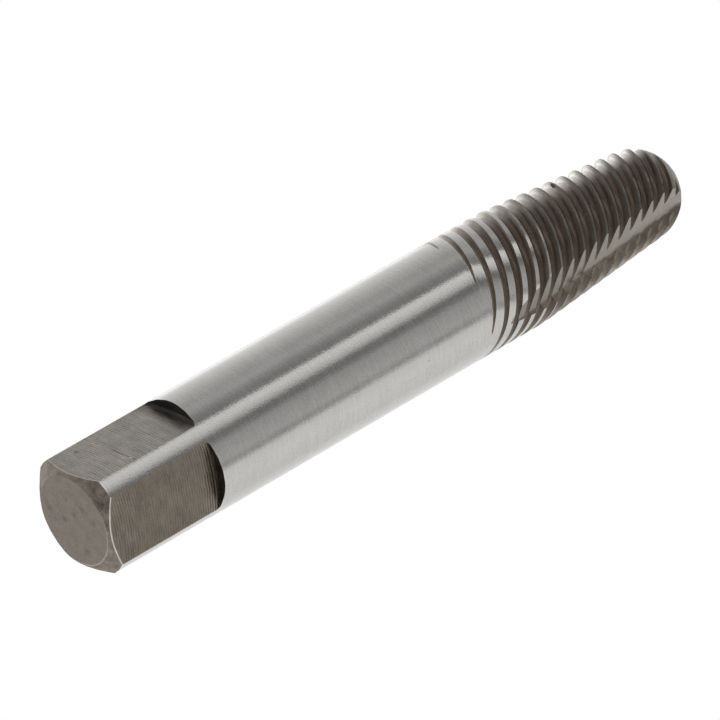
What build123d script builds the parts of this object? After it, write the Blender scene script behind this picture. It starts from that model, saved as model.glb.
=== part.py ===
from build123d import *
import math
import os

# Screw extractor: a driving square, a plain ground shank and a tapered left-hand spiral with several
# starts, all turned, milled and ground on one piece of steel.
# Millimetres, +Z up along the tool's axis. The origin is the centre of the square's end face, so the
# tool stands on that face with its spiral nose up.

# shank
shank_diameter = 11.2
overall_length = 71.0

# driving square
square_across_flats = 9.0
square_length = 12.2
shoulder_curve_radius = 20.0
shoulder_fillet = 0.3
end_face_diameter = 8.4
end_chamfer_angle = 30.0

# tapered end
taper_start = 51.5
taper_half_angle = 4.75

# left-hand spiral grooves
starts = 7
lead = 10.7
groove_start = 43.7
groove_angle = 67.0
groove_root_width = 0.48
groove_root_depth = 0.08
first_groove_angle = 119.0

# straight flutes across the spiral
flute_count = 2
flute_start = 46.0
flute_sink_angle = 5.8
flute_angle = 105.0
flute_wall_angle = 47.0
flute_corner_radius = 0.3

# how far each cutter reaches past the steel
clearance = 2.0

shank_radius = shank_diameter / 2
taper_slope = math.tan(math.radians(taper_half_angle))
taper_sine = math.sin(math.radians(taper_half_angle))
taper_cosine = math.cos(math.radians(taper_half_angle))

# the nose is a ball that touches the taper smoothly and ends at the overall length
taper_apex = taper_start + shank_radius / taper_slope
nose_radius = (taper_apex - overall_length) * taper_sine / (1 - taper_sine)
nose_centre = overall_length - nose_radius
nose_edge = (nose_radius * taper_cosine, nose_centre + nose_radius * taper_sine)
nose_bend = math.radians(45 + taper_half_angle / 2)
nose_middle = (nose_radius * math.cos(nose_bend), nose_centre + nose_radius * math.sin(nose_bend))

end_face_radius = end_face_diameter / 2
end_chamfer_height = (shank_radius - end_face_radius) * math.tan(math.radians(end_chamfer_angle))

# the groove's root runs parallel to the taper, so each groove rises to the shank's surface and fades away
groove_depth = (taper_start - groove_start) * taper_slope
groove_height = groove_depth + shank_diameter / 40
groove_flank_width = (groove_height - groove_root_depth) * math.tan(math.radians(groove_angle / 2))
root_half_width = groove_root_width / 2
groove_half_width = root_half_width + groove_flank_width
groove_bottom = groove_start - clearance
groove_run = overall_length + clearance - groove_bottom

# one cutter for a flat of the square, its end curved and its bottom edge rounded
with BuildPart() as flat_cutter:
    with BuildSketch(Plane.YZ.offset(square_across_flats / 2)) as flat_outline:
        with BuildLine():
            drop = shank_radius**2 / (2 * shoulder_curve_radius)
            ThreePointArc(
                (-shank_radius, square_length - drop),
                (0, square_length),
                (shank_radius, square_length - drop),
            )
            Polyline(
                (shank_radius, square_length - drop),
                (shank_radius, -clearance),
                (-shank_radius, -clearance),
                (-shank_radius, square_length - drop),
            )
        make_face()
    extrude(amount=shank_radius)
    fillet(flat_cutter.edges().group_by(Axis.X)[0].sort_by(Axis.Z)[-1], radius=shoulder_fillet)

# one cutter for a spiral groove: two flanks and a shallow dished root, swept along a left-hand
# tapering helix
with BuildPart() as groove_cutter:
    with BuildLine() as groove_path:
        Helix(
            pitch=lead,
            height=groove_run,
            radius=shank_radius + clearance * taper_slope,
            center=(0, 0, groove_bottom),
            cone_angle=-taper_half_angle,
            lefthand=True,
        )
    groove_plane = Plane(
        origin=groove_path.line @ 0, x_dir=(1, 0, 0), z_dir=groove_path.line % 0
    )
    with BuildSketch(groove_plane) as groove_section:
        with BuildLine():
            Polyline(
                (0, 0),
                (groove_root_depth, root_half_width),
                (groove_height, groove_half_width),
                (groove_height, -groove_half_width),
                (groove_root_depth, -root_half_width),
                close=True,
            )
        make_face()
    sweep(path=groove_path.line, is_frenet=True)

# one cutter for a flute: a long floor square to the radius and a short wall leaning outwards from it
with BuildPart() as flute_cutter:
    sink = math.radians(flute_sink_angle)
    flute_plane = Plane(
        origin=(shank_radius, 0, flute_start),
        x_dir=(math.cos(sink), 0, math.sin(sink)),
        z_dir=(-math.sin(sink), 0, math.cos(sink)),
    )
    flute_lean = shank_radius * math.tan(math.radians(flute_wall_angle))
    with BuildSketch(flute_plane.offset(-shank_radius)) as flute_section:
        with BuildLine():
            Polyline(
                (0, 0),
                (shank_radius, flute_lean),
                (shank_radius, -shank_radius),
                (0, -shank_radius),
                close=True,
            )
        make_face()
        fillet(
            flute_section.vertices().group_by(Axis.X)[0].sort_by(Axis.Y)[-1],
            radius=flute_corner_radius,
        )
    extrude(amount=overall_length - flute_start + 2 * shank_radius)

with BuildPart() as extractor:
    # turned blank: chamfered end face, plain shank, taper and rounded nose
    with BuildSketch(Plane.XZ) as outline:
        with BuildLine():
            Polyline(
                (0, 0),
                (end_face_radius, 0),
                (shank_radius, end_chamfer_height),
                (shank_radius, taper_start),
            )
            Bezier(
                (shank_radius, taper_start),
                ((shank_radius + nose_edge[0]) / 2, (taper_start + nose_edge[1]) / 2),
                nose_edge,
            )
            ThreePointArc(nose_edge, nose_middle, (0, overall_length))
            Line((0, overall_length), (0, 0))
        make_face()
    revolve(axis=Axis.Z)

    # four flats for the tap wrench
    with PolarLocations(0, 4):
        add(flat_cutter.part, mode=Mode.SUBTRACT)

    # the spiral grooves, cut one after another
    for groove in range(starts):
        groove_turn = first_groove_angle + groove * 360 / starts
        add(groove_cutter.part.rotate(Axis.Z, groove_turn), mode=Mode.SUBTRACT)

    # the flutes, on opposite sides
    for flute in range(flute_count):
        flute_turn = flute_angle + flute * 360 / flute_count
        add(flute_cutter.part.rotate(Axis.Z, flute_turn), mode=Mode.SUBTRACT)

extractor.part.label = "extractor"
os.makedirs("parts", exist_ok=True)
export_step(extractor.part, "parts/extractor.step")
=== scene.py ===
import math

import bmesh
import bpy
from mathutils import Matrix, Vector


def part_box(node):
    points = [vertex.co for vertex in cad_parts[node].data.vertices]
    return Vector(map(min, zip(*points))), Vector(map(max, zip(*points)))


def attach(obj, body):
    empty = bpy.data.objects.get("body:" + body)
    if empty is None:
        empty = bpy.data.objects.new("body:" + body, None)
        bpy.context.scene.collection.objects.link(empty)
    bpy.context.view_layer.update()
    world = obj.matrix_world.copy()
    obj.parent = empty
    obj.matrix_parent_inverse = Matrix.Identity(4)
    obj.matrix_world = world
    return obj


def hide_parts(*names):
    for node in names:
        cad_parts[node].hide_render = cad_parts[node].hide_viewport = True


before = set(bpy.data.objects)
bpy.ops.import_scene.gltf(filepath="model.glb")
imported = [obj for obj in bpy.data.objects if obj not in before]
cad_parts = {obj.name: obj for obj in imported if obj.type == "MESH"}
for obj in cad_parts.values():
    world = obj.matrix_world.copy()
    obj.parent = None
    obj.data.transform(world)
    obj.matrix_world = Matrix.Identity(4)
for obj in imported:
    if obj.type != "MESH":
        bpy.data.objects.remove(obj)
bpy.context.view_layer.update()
scene = bpy.context.scene
scene.view_settings.view_transform = "Standard"

# Camera: a long lens that looks at the tool from its square end, a little to the side. The tool stands
# on that end here, so the lens looks up at it and is rolled until the shank climbs to the right.
mm = 0.001
camera_aim = Vector((-0.295, 0.208, 32.99)) * mm
camera_distance = 691.8 * mm
camera_azimuth = math.radians(54.9)
camera_elevation = math.radians(-33.2)
camera_roll = math.radians(59.96)
camera_lens = 400
camera_sensor = 36

towards_camera = Vector(
    (
        math.cos(camera_elevation) * math.cos(camera_azimuth),
        math.cos(camera_elevation) * math.sin(camera_azimuth),
        math.sin(camera_elevation),
    )
)
upright = towards_camera.to_track_quat("Z", "Y").to_matrix()
rolled = Matrix.Rotation(camera_roll, 3, towards_camera) @ upright
camera = bpy.data.objects.new("camera", bpy.data.cameras.new("camera"))
scene.collection.objects.link(camera)
camera.matrix_world = Matrix.Translation(camera_aim + towards_camera * camera_distance) @ rolled.to_4x4()
camera.data.lens = camera_lens
camera.data.sensor_width = camera_sensor
camera.data.clip_start = 0.05
camera.data.clip_end = 20
scene.camera = camera

# Studio: a plain pale floor that fades into a white room, with soft lamps. Only the steel's reflections
# see a tent wall round the tool, with grey and dark stretches on it, a grey card under the tool and a
# white one beside it.
floor_drop = 0.1 * mm
floor_width = 6.0
fade_start = 0.4
fade_end = 2.6
floor_colour = (0.84, 0.84, 0.84, 1)


class Wire:
    """One output of a shader node. Arithmetic on wires adds Math nodes to their tree."""

    def __init__(self, tree, socket=None):
        self.tree = tree
        self.socket = socket

    def node(self, kind, settings=None, inputs=None, output=0):
        """Adds a node of that kind: its settings first, then the values or links of its sockets."""
        made = self.tree.nodes.new("ShaderNode" + kind)
        for name, value in (settings or {}).items():
            if name == "stops":
                ramp = made.color_ramp.elements
                while len(ramp) < len(value):
                    ramp.new(1)
                for stop, (place, level) in zip(ramp, value):
                    stop.position = place
                    stop.color = (level, level, level, 1)
            else:
                setattr(made, name, value)
        for name, value in (inputs or {}).items():
            if isinstance(value, Wire):
                self.tree.links.new(value.socket, made.inputs[name])
            else:
                made.inputs[name].default_value = value
        return Wire(self.tree, made.outputs[output] if made.outputs else None)

    def parts(self):
        """The three numbers of a vector."""
        split = self.node("SeparateXYZ", inputs={0: self})
        return [Wire(self.tree, split.socket.node.outputs[axis]) for axis in "XYZ"]

    def math(self, operation, *values):
        """The result of a Math node on this wire and those values."""
        return self.node("Math", {"operation": operation}, dict(enumerate((self, *values))))

    def __add__(self, other):
        return self.math("ADD", other)

    def __mul__(self, other):
        return self.math("MULTIPLY", other)

    __radd__ = __add__
    __rmul__ = __mul__

    def __sub__(self, other):
        return self.math("SUBTRACT", other)

    def __rsub__(self, other):
        return self.node("Math", {"operation": "SUBTRACT"}, {0: other, 1: self})

    def __truediv__(self, other):
        return self.math("DIVIDE", other)

    def __gt__(self, other):
        return self.math("GREATER_THAN", other)


def new_finish(name):
    """A new material with an empty tree, and the wire that its nodes start from."""
    finish = bpy.data.materials.new(name)
    finish.use_nodes = True
    finish.node_tree.nodes.clear()
    return finish, Wire(finish.node_tree)


bpy.ops.mesh.primitive_plane_add(size=floor_width, location=(0, 0, -floor_drop))
floor = bpy.context.object
floor.name = "floor"
for ray in ("diffuse", "glossy", "transmission", "shadow"):
    setattr(floor, "visible_" + ray, False)
finish, start = new_finish("floor")
pale = start.node("BsdfDiffuse", inputs={"Color": floor_colour})
clear = start.node("BsdfTransparent")
spot = start.node("TexCoord", output="Object")
reach = spot.node("VectorMath", {"operation": "LENGTH"}, {0: spot}, output="Value")
fade = {"Value": reach, "From Min": fade_start, "From Max": fade_end}
far = reach.node("MapRange", {"interpolation_type": "SMOOTHSTEP"}, fade)
underside = start.node("NewGeometry", output="Backfacing")
unseen = underside.math("MAXIMUM", far)
one_sided = start.node("MixShader", inputs={0: unseen, 1: pale, 2: clear})
start.node("OutputMaterial", inputs={"Surface": one_sided})
floor.data.materials.append(finish)

# the room: white where it is seen or reflected, and dimmer as a light
world_level = 0.7
white = (1, 1, 1, 1)
world = bpy.data.worlds.new("room")
world.use_nodes = True
world.node_tree.nodes.clear()
scene.world = world
start = Wire(world.node_tree)
seen = start.node("LightPath", output="Is Camera Ray")
for ray in ("Is Glossy Ray", "Is Transmission Ray"):
    seen = seen.math("MAXIMUM", start.node("LightPath", output=ray))
level = world_level + (1 - world_level) * seen
room = start.node("Background", inputs={"Color": white, "Strength": level})
start.node("OutputWorld", inputs={"Surface": room})

# each lamp: the side that it shines from, and its strength
lamp_spread = math.radians(40)
lamps = (((0.5, -0.7, 1.0), 1.0), ((-0.9, 0.1, 0.9), 0.5))
for number, (side, strength) in enumerate(lamps):
    lamp = bpy.data.objects.new(f"lamp_{number}", bpy.data.lights.new(f"lamp_{number}", "SUN"))
    scene.collection.objects.link(lamp)
    lamp.data.energy = strength
    lamp.data.angle = lamp_spread
    lamp.rotation_euler = Vector(side).to_track_quat("Z", "Y").to_euler()
    lamp.visible_glossy = False


def glowing(piece, start, glow, strength):
    """Makes a stage piece that shines with that colour and is seen in reflections alone."""
    for ray in ("camera", "diffuse", "transmission", "shadow"):
        setattr(piece, "visible_" + ray, False)
    shine = start.node("Emission", inputs={"Color": glow, "Strength": strength})
    start.node("OutputMaterial", inputs={"Surface": shine})


# the wall's brightness round the tool, by degrees from +X
tent_radius = 0.45
tent_height = 1.2
tent_strength = 1.25
tent_levels = (
    (-160, 0.88),
    (-125, 1.0),
    (-105, 1.22),
    (-95, 1.12),
    (-85, 0.90),
    (-75, 0.84),
    (-65, 0.78),
    (-55, 0.68),
    (-45, 0.59),
    (-28, 0.46),
    (-12, 0.50),
    (-3, 0.37),
    (6, 0.28),
    (16.6, 0.24),
    (20.8, 0.95),
    (32, 0.83),
    (42, 0.55),
    (46, 0.22),
    (56, 0.225),
    (65, 0.42),
    (90, 0.52),
    (97, 0.53),
    (103, 0.38),
    (107, 0.44),
    (114, 0.84),
    (135, 0.90),
    (175, 0.82),
)
bpy.ops.mesh.primitive_cylinder_add(
    vertices=96, radius=tent_radius, depth=tent_height, end_fill_type="NOTHING"
)
tent = bpy.context.object
tent.name = "tent"
finish, start = new_finish("tent_wall")
tent.data.materials.append(finish)
across, along, _ = start.node("TexCoord", output="Object").parts()
turn = along.math("ARCTAN2", across) / math.tau + 0.5
stops = [((degrees + 180) / 360, level / tent_strength) for degrees, level in tent_levels]
glowing(tent, start, turn.node("ValToRGB", {"stops": stops}, {"Fac": turn}), tent_strength)

# each card: its strength, its radius, and its direction and distance from the tool
cards = (
    ("grey_card", 0.36, 0.44, Vector((0, 0, -0.38))),
    ("white_card", 1.7, 0.15, Vector((-0.19, -0.34, 0.05))),
)
for name, strength, radius, place in cards:
    bpy.ops.mesh.primitive_circle_add(vertices=64, radius=radius, fill_type="NGON", location=place)
    card = bpy.context.object
    card.name = name
    card.rotation_euler = place.to_track_quat("Z", "Y").to_euler()
    finish, start = new_finish(name)
    card.data.materials.append(finish)
    glowing(card, start, white, strength)

# Blank: the bar, turned to a chamfered end, a round shank, a taper and a ball nose, then ground. Seven
# left-hand grooves climb its taper; they start at nothing on the shank and deepen to a constant depth.
_, bar_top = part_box("extractor")
shank_radius = bar_top.x / mm
overall_length = bar_top.z / mm
end_face_radius = 4.2
end_chamfer_angle = math.radians(30)
taper_start = 51.5
taper_half_angle = math.radians(4.75)
starts = 7
lead = 10.7
groove_start = 43.7
groove_half_angle = math.radians(67 / 2)
root_half_width = 0.24
root_depth = 0.08
edge_radius = 0.03

# the first groove's cutter comes in at this turn, this far below the groove, and all of the grooves run
# out this far past the nose's edge
cutter_turn = math.radians(119)
cutter_run_in = 2.0
groove_run_out = 2.6

# the mesh: the steps between its rows, the least depth that a groove has in it, and the most of a shallow
# groove's half width that its root and its rounded edge take
shank_step = 1.2
row_step = 0.12
least_v_depth = 0.05
root_share = 0.6
rounding_share = 0.2

groove_pitch = lead / starts
first_groove_turn = cutter_turn - math.tau * cutter_run_in / lead
taper_slope = math.tan(taper_half_angle)
taper_sine = math.sin(taper_half_angle)
taper_apex = taper_start + shank_radius / taper_slope
nose_radius = (taper_apex - overall_length) * taper_sine / (1 - taper_sine)
nose_centre = overall_length - nose_radius
nose_edge = nose_centre + nose_radius * taper_sine
groove_end = nose_edge + groove_run_out
chamfer_top = (shank_radius - end_face_radius) * math.tan(end_chamfer_angle)


def blank_radius(height):
    """The bar's radius at that height, before its grooves are cut."""
    if height < chamfer_top:
        return end_face_radius + height / math.tan(end_chamfer_angle)
    if height < nose_edge:
        return shank_radius - max(height - taper_start, 0) * taper_slope
    return math.sqrt(max(nose_radius**2 - (height - nose_centre) ** 2, 0))


def groove_radius(height, rise, slant):
    """A groove's radius at that height, where its middle lies that rise below on the same side."""
    across = abs(rise) * slant
    root = shank_radius - (height - rise - groove_start) * taper_slope
    if across < root_half_width:
        return root + root_depth * (across / root_half_width) ** 2
    return root + root_depth + (across - root_half_width) / math.tan(groove_half_angle)


def thirds(start, end):
    """The two values that part the way from start to end in three."""
    return [start + (end - start) * share for share in (0.33, 0.67)]


def groove_rises(height):
    """The rises across one start, from one groove's root over its flank and land to the next root."""
    radius = blank_radius(height)
    slant = math.cos(math.atan(lead / (math.tau * radius)))
    flank_slope = 1 / math.tan(groove_half_angle)
    depth = radius - shank_radius + (height - groove_start) * taper_slope
    v_depth = max(depth - root_depth + root_half_width * flank_slope, least_v_depth)
    front_edge = v_depth / (flank_slope * slant + taper_slope)
    back_edge = groove_pitch - v_depth / (flank_slope * slant - taper_slope)
    root = min(root_half_width / slant, root_share * front_edge)
    rounding = min(edge_radius / slant, rounding_share * front_edge)
    flank_end = front_edge - rounding
    land_start = front_edge + rounding
    land_end = back_edge - rounding
    next_flank = back_edge + rounding
    rises = [-root, -root / 2, 0, root / 2, root, *thirds(root, flank_end), flank_end, front_edge]
    rises += [land_start, *thirds(land_start, land_end), land_end]
    rises += [back_edge, next_flank, *thirds(next_flank, groove_pitch - root)]
    return rises, slant


def evenly(start, end, step):
    """Values from start up to end, without end itself, a step or a little less apart."""
    count = math.ceil((end - start) / step)
    return [start + (end - start) * number / count for number in range(count)]


heights = [0, chamfer_top / 2, *evenly(chamfer_top, groove_start - row_step, shank_step)]
heights += [groove_start - row_step, *evenly(groove_start, nose_edge, row_step)]
bends = evenly(taper_half_angle, math.pi / 2, row_step / nose_radius)
heights += [nose_centre + nose_radius * math.sin(bend) for bend in bends]

# the rings of points wind with the grooves; the points that lie in a groove are kept by row and column
blank = bmesh.new()
rings = []
cut = set()
for row, height in enumerate(heights):
    wound = min(max(height, groove_start), groove_end)
    rises, slant = groove_rises(wound)
    ring = []
    for groove in range(starts):
        middle = first_groove_turn + math.tau * (groove / starts - (wound - groove_start) / lead)
        for rise in rises:
            turn = middle + math.tau * rise / lead
            radius = blank_radius(height)
            if height > groove_start:
                groove_before = groove_radius(height, rise, slant)
                groove_after = groove_radius(height, rise - groove_pitch, slant)
                if min(groove_before, groove_after) < radius:
                    radius = min(groove_before, groove_after)
                    cut.add((row, len(ring)))
            point = Vector((math.cos(turn) * radius, math.sin(turn) * radius, height))
            ring.append(blank.verts.new(point * mm))
    rings.append(ring)
end_rings = [[blank.verts.new(rim.co * share) for rim in rings[0]] for share in thirds(0, 1)]
end_centre = blank.verts.new((0, 0, 0))
tip = blank.verts.new((0, 0, overall_length * mm))


def ring_face(lower, upper, column, after):
    """A new face of the blank between two rings, from one column of points to the one after it."""
    return blank.faces.new((lower[column], lower[after], upper[after], upper[column]))


# each face's finish, by its number in the blank's list; a face with two corners in a groove is part of it
turned_face, ground_face, groove_face = range(3)
columns = len(rings[0])
for column in range(columns):
    after = (column + 1) % columns
    face = blank.faces.new((end_centre, end_rings[0][after], end_rings[0][column]))
    face.material_index = turned_face
    for lower, upper in zip(end_rings, end_rings[1:] + rings[:1]):
        ring_face(lower, upper, column, after).material_index = turned_face
    for row, (lower, upper) in enumerate(zip(rings, rings[1:])):
        face = ring_face(lower, upper, column, after)
        corners = {(row, column), (row, after), (row + 1, column), (row + 1, after)}
        if heights[row] < chamfer_top:
            face.material_index = turned_face
        elif len(corners & cut) >= 2:
            face.material_index = groove_face
        else:
            face.material_index = ground_face
    face = blank.faces.new((rings[-1][column], rings[-1][after], tip))
    face.material_index = ground_face
bmesh.ops.recalc_face_normals(blank, faces=blank.faces)
blank_mesh = bpy.data.meshes.new("extractor_body")
blank.to_mesh(blank_mesh)
blank.free()
body = bpy.data.objects.new("extractor_body", blank_mesh)
scene.collection.objects.link(body)


def steel_place(name):
    """A new finish, the place on the steel in millimetres, and that place's three numbers."""
    finish, start = new_finish(name)
    metres = start.node("TexCoord", output="Object")
    place = start.node("VectorMath", {"operation": "SCALE"}, {0: metres, "Scale": 1 / mm})
    return finish, place, *place.parts()


def cloudy(place, scale, stretch=(1, 1, 1), detail=2):
    """Soft random tones round 0, a few tenths up and down, finer with the scale, drawn out by a stretch."""
    drawn = place.node("VectorMath", {"operation": "MULTIPLY"}, {0: place, 1: stretch})
    return drawn.node("TexNoise", inputs={"Vector": drawn, "Scale": scale, "Detail": detail}) - 0.5


def ease(value, low, high):
    """A mask that goes softly from 0 at the low value to 1 at the high one."""
    settings = {"interpolation_type": "SMOOTHSTEP"}
    return value.node("MapRange", settings, {"Value": value, "From Min": low, "From Max": high})


def line(value, middle, half_width):
    """A mask that is 1 where the value is at the middle and 0 beyond the half width."""
    return ease((value - middle).math("ABSOLUTE"), half_width, half_width / 3)


def away_from(place, spot):
    """How far the place is from that spot."""
    ends = {0: place, 1: spot}
    return place.node("VectorMath", {"operation": "DISTANCE"}, ends, output="Value")


def toned(colour, tone):
    """The colour, darker where the tone is below 1 and lighter where it is above."""
    return tone.node("VectorMath", {"operation": "SCALE"}, {0: colour, "Scale": tone})


def mixed(mask, before, after):
    """The colour before where the mask is 0, going over to the colour after where it is 1."""
    return mask.node("Mix", {"data_type": "RGBA"}, {0: mask, 6: before, 7: after}, output=2)


def bare_steel(colour, roughness, relief, metallic=1.0):
    """Ends a finish: steel of that colour and roughness, with its fine relief in millimetres."""
    bump = relief.node("Bump", inputs={"Distance": mm, "Height": relief})
    inputs = {"Base Color": colour, "Metallic": metallic, "Roughness": roughness, "Normal": bump}
    relief.node("OutputMaterial", inputs={"Surface": relief.node("BsdfPrincipled", inputs=inputs)})


# the end: turned dull, with faint rings and stains. One stretch of its rim has a painted highlight. The
# chamfer is lighter and rougher; it has painted shade towards one side, and painted shade with more
# roughness on the side opposite.
end_colour = (0.236, 0.205, 0.175)
end_stain_colour = (0.115, 0.098, 0.085, 1)
turning_step = 0.3
# the painted highlight on the end's rim: its half width, how high it reaches, and the turns from which it
# comes in
rim_highlight_half_width = 0.09
rim_highlight_height = 0.15
rim_highlight_turns = (0.9, 1.4)
chamfer_from = (0, 0.05)
# the chamfer's painted shade: the side that it falls towards and where it starts there, and where it starts
# on the side opposite
shade_side_turn = math.radians(54.9)
shade_side_from = (3.6, 4.8)
opposite_shade_from = (-1.5, -4.0)
# each stain: its place and its radius
end_stains = (
    ((0.58, 0.0, 0), 0.45),
    ((1.51, 1.32, 0), 0.4),
    ((1.66, -0.59, 0), 0.4),
    ((0.53, 2.63, 0), 0.4),
    ((-2.66, 1.04, 0), 0.4),
    ((-2.6, -0.24, 0), 0.3),
    ((-0.28, -1.24, 0), 0.4),
    ((0.14, -3.22, 0), 0.6),
)
end_finish, place, x, y, z = steel_place("turned_end")
radius = (x * x + y * y).math("SQRT")
turn = y.math("ARCTAN2", x)
blotches = cloudy(place, 0.9, detail=4)
grain = cloudy(place, 6)
turning = (radius * (math.tau / turning_step) + 4 * blotches).math("SINE")
stains = 0
for stain_place, stain_radius in end_stains:
    stains = ease(away_from(place, stain_place) + blotches, stain_radius, 0) + stains
# painted highlight along one stretch of the end's rim
rim = line(radius, end_face_radius, rim_highlight_half_width) * ease(turn, *rim_highlight_turns) * ease(z, rim_highlight_height, 0)
chamfer = ease(z, *chamfer_from)
# painted shade on the chamfer towards one side, and painted shade with more roughness on the side opposite
sideways = math.cos(shade_side_turn) * x + math.sin(shade_side_turn) * y
painted_shade_side = ease(sideways, *shade_side_from) * chamfer
rough_and_shaded_side = ease(sideways, *opposite_shade_from) * chamfer
tone = 1 + 1.2 * blotches + 1.1 * grain + 0.03 * turning + 0.8 * rim - 0.75 * rough_and_shaded_side
tone = tone + chamfer * (0.28 + 1.6 * blotches) - 0.3 * painted_shade_side
bare_steel(
    mixed(stains * 0.5, toned(end_colour, tone), end_stain_colour),
    0.45 + 0.4 * blotches + 0.2 * grain + 0.2 * chamfer + 0.3 * rough_and_shaded_side,
    0.0006 * turning + 0.012 * grain,
    1 - 0.2 * chamfer,
)

# the shank: ground bright round and round, with a painted highlight along the burr above the chamfer.
# The lands of the spiral turn duller as they climb, and the nose is patchy.
ground_colour = (0.58, 0.565, 0.545, 1)
dull_colour = (0.14, 0.125, 0.107, 1)
burr_highlight_top = (chamfer_top + 0.13, chamfer_top + 0.04)
lands_dull = (49.5, 54.5)
nose_patchy = (60, 66)
ground_finish, place, _, _, z = steel_place("ground_shank")
strokes = cloudy(place, 1, (0.5, 0.5, 5), detail=3)
grain = cloudy(place, 7)
blotches = cloudy(place, 0.6, (1, 1, 0.5))
specks = ease(cloudy(place, 2.2, detail=1), 0.29, 0.34)
dull = ease(z + 5 * blotches, *lands_dull)
# painted highlight along the burr just above the chamfer
burr_highlight = ease(z + 0.2 * grain, *burr_highlight_top)
patches = cloudy(place, 1.1, detail=3) * ease(z, *nose_patchy)
tone = 1 + 0.24 * strokes + 0.34 * grain + 0.1 * blotches - 0.4 * specks + 0.35 * burr_highlight + 2.2 * patches
bare_steel(
    toned(mixed(dull, ground_colour, dull_colour), tone),
    0.14 + 0.1 * strokes + 0.2 * dull + 0.08 * blotches + 0.3 * patches,
    0.0045 * strokes + 0.007 * grain + 0.01 * dull * grain + 0.03 * patches,
)

# the grooves: cut dark, with fine lines along the spiral and painted shade towards the root. The flanks
# are lighter behind the flutes, with less of that shade, brown just past the flutes' walls, and have
# painted shade at the crests on the +X side.
groove_colour = (0.285, 0.27, 0.25, 1)
root_shade_colour = (0.112, 0.087, 0.066, 1)
film_colour = (0.165, 0.137, 0.109, 1)
flute_turn = math.radians(105)
flute_count = 2
lines_per_groove = 6
root_shade_top = (0.8, 0.35)
lighter_behind_flute_from = (50, 62)
film_middle = 1.1
film_half_width = 1.5
film_from = (47, 50)
crest_height = (0.32, 0.6)
crest_shade_from = (50, 54)
crest_shade_side = (-2, 2)


def past_flute(x, y):
    """How far a place lies past the middle plane of the flutes, on the side of the nearer one's wall."""
    nearer = (x * math.cos(flute_turn) + y * math.sin(flute_turn)).math("SIGN")
    return (y * math.cos(flute_turn) - x * math.sin(flute_turn)) * nearer


groove_finish, place, x, y, z = steel_place("groove_flanks")
blotches = cloudy(place, 0.7, detail=4)
grain = cloudy(place, 4)
turn = y.math("ARCTAN2", x)
along = (z + turn * (lead / math.tau)) * (math.tau / groove_pitch)
strokes = (along * lines_per_groove + 9 * blotches).math("SINE")
above_root = (x * x + y * y).math("SQRT") - shank_radius + (z - groove_start) * taper_slope
behind_flute = ease(((turn - flute_turn) * flute_count).math("SINE"), 0, 0.9)
lighter_behind_flute = behind_flute * (0.5 + 0.5 * ease(z, *lighter_behind_flute_from))
# painted shade towards the root of each groove, less of it behind the flutes
root_shade = ease(above_root + 0.4 * blotches, *root_shade_top) * (1 - 0.85 * lighter_behind_flute)
film = line(past_flute(x, y) + 0.8 * blotches, film_middle, film_half_width) * ease(z, *film_from)
# painted shade at the crests, high on the spiral and on the +X side
crest_painted_shade = ease(above_root + 0.3 * blotches, *crest_height) * ease(z, *crest_shade_from)
crest_painted_shade = crest_painted_shade * ease(x, *crest_shade_side)
tone = (1 + 0.9 * blotches + 0.5 * grain + 0.08 * strokes) * (0.95 + 0.8 * lighter_behind_flute)
tone = tone * (1 - 0.4 * crest_painted_shade)
bare_steel(
    toned(mixed(film, mixed(root_shade, groove_colour, root_shade_colour), film_colour), tone),
    0.23 + 0.3 * blotches + 0.1 * grain,
    0.0012 * strokes + 0.004 * grain,
    1 - 0.55 * root_shade.math("MAXIMUM", film),
)
for finish in (end_finish, ground_finish, groove_finish):
    blank_mesh.materials.append(finish)

# Square: four flats milled across the bar, one after another, with the cutter's curved shoulder at the
# end of each.
flat_distance = 4.5
square_length = 12.2
shoulder_curve = 20.0
shoulder_fillet = 0.3
cutter_overrun = 2
cutter_steps = 48
fillet_steps = 8

# the flats: fine milled lines, curved as the shoulders are, with painted shade in the +X flat's shoulder
# corner and on the shoulders' walls. The +X flat is painted lit, the lightest, and has a scratch and a
# dent; the +Y one is painted shaded, the darkest, its lines faint in the middle.
# the flats' steel, painted as lit on the +X flat and as shaded on the +Y flat
flat_colour = (0.25, 0.232, 0.21, 1)
x_flat_lit_colour = (0.345, 0.32, 0.288, 1)
y_flat_shaded_colour = (0.193, 0.167, 0.137, 1)
# the colour of the painted highlight along the burr where the flats meet the chamfer
burr_highlight_colour = (0.75, 0.73, 0.70, 1)
mark_step = 0.27
flat_margin = 0.05
faint_from = (2.2, 4.5)
faint_to = (11.2, 9.5)
# where the painted shade in the shoulders' corners and on the shoulders' walls begins and is full
corner_shade = (square_length - 1.9, square_length - 0.5)
wall_shade = (square_length - 0.35, square_length - 0.15)
scratch_height = 4.98
scratch_slope = 0.03
scratch_half_width = 0.08
scratch_start = (0.1, 0.5)
bright_bit_place = 2.6
bright_bit_half_width = 0.25
dent_place = (flat_distance, -2.14, 3.03)
dent_fade = (0.3, 0.05)
flat_finish, place, x, y, z = steel_place("milled_flats")
across = x.math("ABSOLUTE").math("MINIMUM", y.math("ABSOLUTE"))
curve = z + across * across / (2 * shoulder_curve)
x_flat = x > flat_distance - flat_margin
y_flat = y > flat_distance - flat_margin
blotches = cloudy(place, 0.8, detail=3)
grain = cloudy(place, 6)
streaks = cloudy(place, 1, (0.6, 0.6, 3.2), detail=3)
worn = ease(cloudy(place, 0.55, detail=3), -0.12, 0.16)
faint = y_flat * ease(z, *faint_from) * ease(z, *faint_to)
marks = (curve * (math.tau / mark_step) + 7 * blotches + 2 * streaks).math("SINE")
marks = marks * (1.2 - 0.5 * worn - 0.4 * faint)
in_corner = ease(curve, *corner_shade)
wall = ease(curve, *wall_shade)
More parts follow.
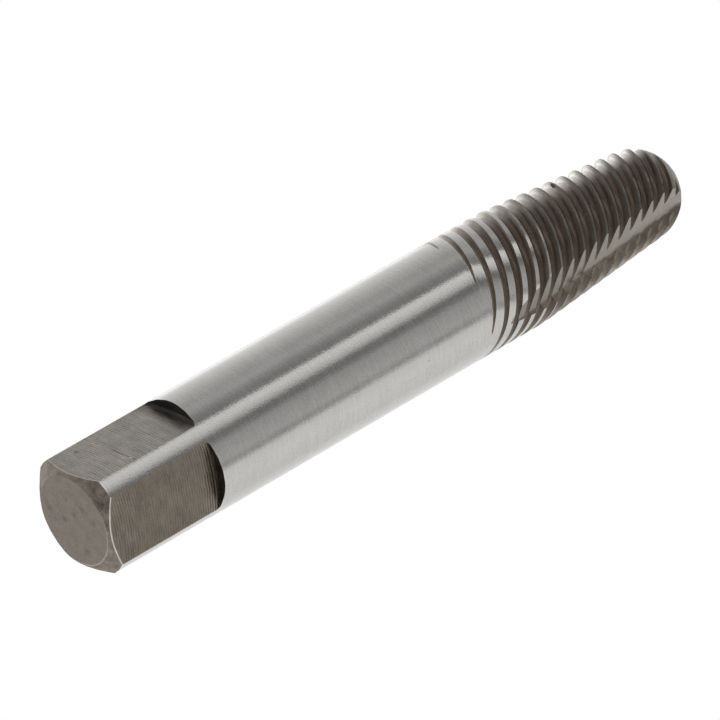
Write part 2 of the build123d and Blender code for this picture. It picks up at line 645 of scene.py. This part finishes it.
# painted highlight along the burr where the flats meet the chamfer, stronger on the +Y flat
chamfer_radius = end_face_radius + z / math.tan(end_chamfer_angle)
inside_chamfer = chamfer_radius - (across * across + flat_distance**2).math("SQRT") + 0.5 * streaks
burr_highlight = ease(inside_chamfer, 0.18 + 0.16 * y_flat, 0.06 + 0.06 * y_flat)
tone = 1 + 0.6 * blotches + 0.8 * grain + 0.9 * streaks + 0.17 * marks + 0.4 * in_corner * marks * y_flat
# painted shade in the +X flat's shoulder corner and on the shoulders' walls of every flat
tone = tone * (1 - 0.5 * in_corner * x_flat) * (1 - 0.72 * wall)
scratch = line(z - scratch_slope * y, scratch_height, scratch_half_width) * ease(y, *scratch_start) * x_flat
bright_bit = line(y, bright_bit_place, bright_bit_half_width)
dent = ease(away_from(place, dent_place), *dent_fade)
tone = tone * (1 - 0.6 * scratch * (1 - 1.8 * bright_bit)) * (1 - 0.5 * dent)
colour = mixed(y_flat, mixed(x_flat, flat_colour, x_flat_lit_colour), y_flat_shaded_colour)
bare_steel(
    mixed(burr_highlight * (0.55 + 0.35 * y_flat), toned(colour, tone), burr_highlight_colour),
    0.38 + 0.3 * streaks + 0.2 * grain,
    0.0022 * marks + 0.006 * streaks,
)


def cutter_object(name, solid, finish):
    """An object made of that solid, with the finish that its cut leaves on the steel."""
    bmesh.ops.recalc_face_normals(solid, faces=solid.faces)
    cutter_mesh = bpy.data.meshes.new(name)
    solid.to_mesh(cutter_mesh)
    solid.free()
    cutter_mesh.materials.append(finish)
    cutter = bpy.data.objects.new(name, cutter_mesh)
    scene.collection.objects.link(cutter)
    return cutter


def prism(sections):
    """A closed solid through those outlines, each a list of points in millimetres."""
    solid = bmesh.new()
    loops = [[solid.verts.new(Vector(point) * mm) for point in section] for section in sections]
    for before, after in zip(loops, loops[1:]):
        for side in range(len(before)):
            following = (side + 1) % len(before)
            solid.faces.new((before[side], before[following], after[following], after[side]))
    solid.faces.new(loops[0])
    solid.faces.new(loops[-1])
    return solid


def turned_solid(solid, turn):
    """That solid, turned round the tool's axis."""
    bmesh.ops.rotate(solid, verts=solid.verts, matrix=Matrix.Rotation(turn, 3, "Z"))
    return solid


def flat_section(sideways):
    """The cutter's outline in the plane at that distance to the side of the middle."""
    top = square_length - sideways**2 / (2 * shoulder_curve)
    outline = [(flat_distance, -cutter_overrun), (2 * shank_radius, -cutter_overrun), (2 * shank_radius, top)]
    for step in range(fillet_steps + 1):
        bend = math.pi / 2 * step / fillet_steps
        out = flat_distance + shoulder_fillet * (1 - math.sin(bend))
        height = top - shoulder_fillet * (1 - math.cos(bend))
        outline.append((out, height))
    return [(out, sideways, height) for out, height in outline]


sides = [shank_radius * (2 * step / cutter_steps - 1) for step in range(cutter_steps + 1)]
cutters = []
for quarter in range(4):
    solid = turned_solid(prism([flat_section(side) for side in sides]), math.tau * quarter / 4)
    cutters.append(cutter_object(f"flat_cutter_{quarter}", solid, flat_finish))

# Flutes: two straight flutes ground across the spiral on opposite sides, each with a long flat floor
# and a short leaning wall.
flute_start = 46.0
flute_sink = math.radians(5.8)
flute_wall_angle = math.radians(47)
flute_corner = 0.3
flute_reach = 30

# the flutes: ground lengthwise, the floor lighter and the wall darker as they climb, the wall blotchy
floor_steel = (0.31, 0.29, 0.255, 1)
wall_steel = (0.225, 0.193, 0.158, 1)
corner_fade = (-0.2, 0.2)
floor_lighter = (46, 68)
wall_darker = (56, 68)
flute_finish, place, x, y, z = steel_place("flute_floor")
blotches = cloudy(place, 0.9, detail=3)
grain = cloudy(place, 6)
strokes = cloudy(place, 1, (6, 6, 0.5), detail=3)
on_wall = ease(past_flute(x, y) + 0.9 * blotches, *corner_fade)
tone = 0.85 + 0.2 * ease(z, *floor_lighter) + 0.35 * strokes + 0.3 * grain
tone = tone + 0.3 * blotches * (1 + 4 * on_wall)
tone = tone * (1 - 0.4 * on_wall * ease(z, *wall_darker))
bare_steel(
    toned(mixed(on_wall, floor_steel, wall_steel), tone),
    0.32 + 0.2 * strokes + 0.2 * grain + 0.15 * on_wall,
    0.003 * strokes + 0.004 * grain,
)

wall_bend = math.pi / 2 - flute_wall_angle
corner_run = flute_corner * math.tan(wall_bend / 2)
outline = [(0, -shank_radius)]
for step in range(fillet_steps + 1):
    bend = wall_bend * step / fillet_steps
    outline.append((flute_corner * (1 - math.cos(bend)), flute_corner * math.sin(bend) - corner_run))
outline += [(shank_radius, shank_radius * math.tan(flute_wall_angle)), (shank_radius, -shank_radius)]
off_floor = Vector((math.cos(flute_sink), 0, math.sin(flute_sink)))
along_floor = Vector((-math.sin(flute_sink), 0, math.cos(flute_sink)))
sections = []
for distance in (-shank_radius, flute_reach):
    middle = Vector((shank_radius, 0, flute_start)) + along_floor * distance
    sections.append([middle + off_floor * out + Vector((0, across, 0)) for out, across in outline])
for flute in range(flute_count):
    solid = turned_solid(prism(sections), flute_turn + math.tau * flute / flute_count)
    cutters.append(cutter_object(f"flute_cutter_{flute}", solid, flute_finish))

# Wear: a knock has taken one small chip out of a crest of the spiral, along its slant. The broken steel
# is rough, and painted near black as shade in the chip.
chip_turn = math.radians(-9)
chip_lean = math.radians(-18)
chip_place = Vector((5.26, 0, 58.13))
chip_size = (0.48, 1.1, 0.34, 1)
# painted shade: the chip's near-black colour
chip_shade_colour = (0.07, 0.062, 0.055)
chip_finish, place, *_ = steel_place("chipped_steel")
grain = cloudy(place, 6)
bare_steel(toned(chip_shade_colour, 1 + 1.2 * grain), 0.5 + 0.3 * grain, 0.02 * grain)

solid = bmesh.new()
bmesh.ops.create_icosphere(solid, subdivisions=3, radius=1)
solid.transform(Matrix.Diagonal(chip_size))
solid.transform(Matrix.Translation(chip_place) @ Matrix.Rotation(chip_lean, 4, "X"))
solid.transform(Matrix.Rotation(chip_turn, 4, "Z"))
solid.transform(Matrix.Scale(mm, 4))
cutters.append(cutter_object("chip_cutter", solid, chip_finish))

# Cutting: the cutters go through the blank one after another, and each leaves its own finish. Edges stay
# sharp. The shank, the chamfer and the flats reflect as true cylinder, cone and planes up to their edges.
sharp_angle = math.radians(30)

# how far up a face of the end belongs to the chamfer, and how squarely a flat's own face looks along X or Y
chamfer_above = 0.01
square_on = 0.9999
for cutter in cutters:
    cutting = body.modifiers.new(cutter.name, "BOOLEAN")
    cutting.operation = "DIFFERENCE"
    cutting.solver = "EXACT"
    cutting.material_mode = "TRANSFER"
    cutting.object = cutter
bpy.context.view_layer.update()
steel = bpy.data.meshes.new_from_object(body.evaluated_get(bpy.context.evaluated_depsgraph_get()))
body.modifiers.clear()
body.data = steel
for cutter in cutters:
    bpy.data.objects.remove(cutter)
for face in steel.polygons:
    face.use_smooth = True
steel.set_sharp_from_angle(angle=sharp_angle)

chamfer_fall = Vector((0, 0, math.cos(end_chamfer_angle)))
normals = [Vector(corner.vector) for corner in steel.corner_normals]
for face in steel.polygons:
    finish = steel.materials[face.material_index]
    height = face.center.z / mm
    for corner in face.loop_indices:
        point = steel.vertices[steel.loops[corner].vertex_index].co / mm
        outwards = Vector((point.x, point.y, 0)).normalized()
        if finish == ground_finish and height < groove_start:
            normals[corner] = outwards
        elif finish == end_finish and height > chamfer_above:
            normals[corner] = outwards * math.sin(end_chamfer_angle) - chamfer_fall
        elif finish == flat_finish and max(map(abs, face.normal)) > square_on:
            normals[corner] = face.normal.copy()
steel.normals_split_custom_set(normals)

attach(body, "root")
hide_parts("extractor")
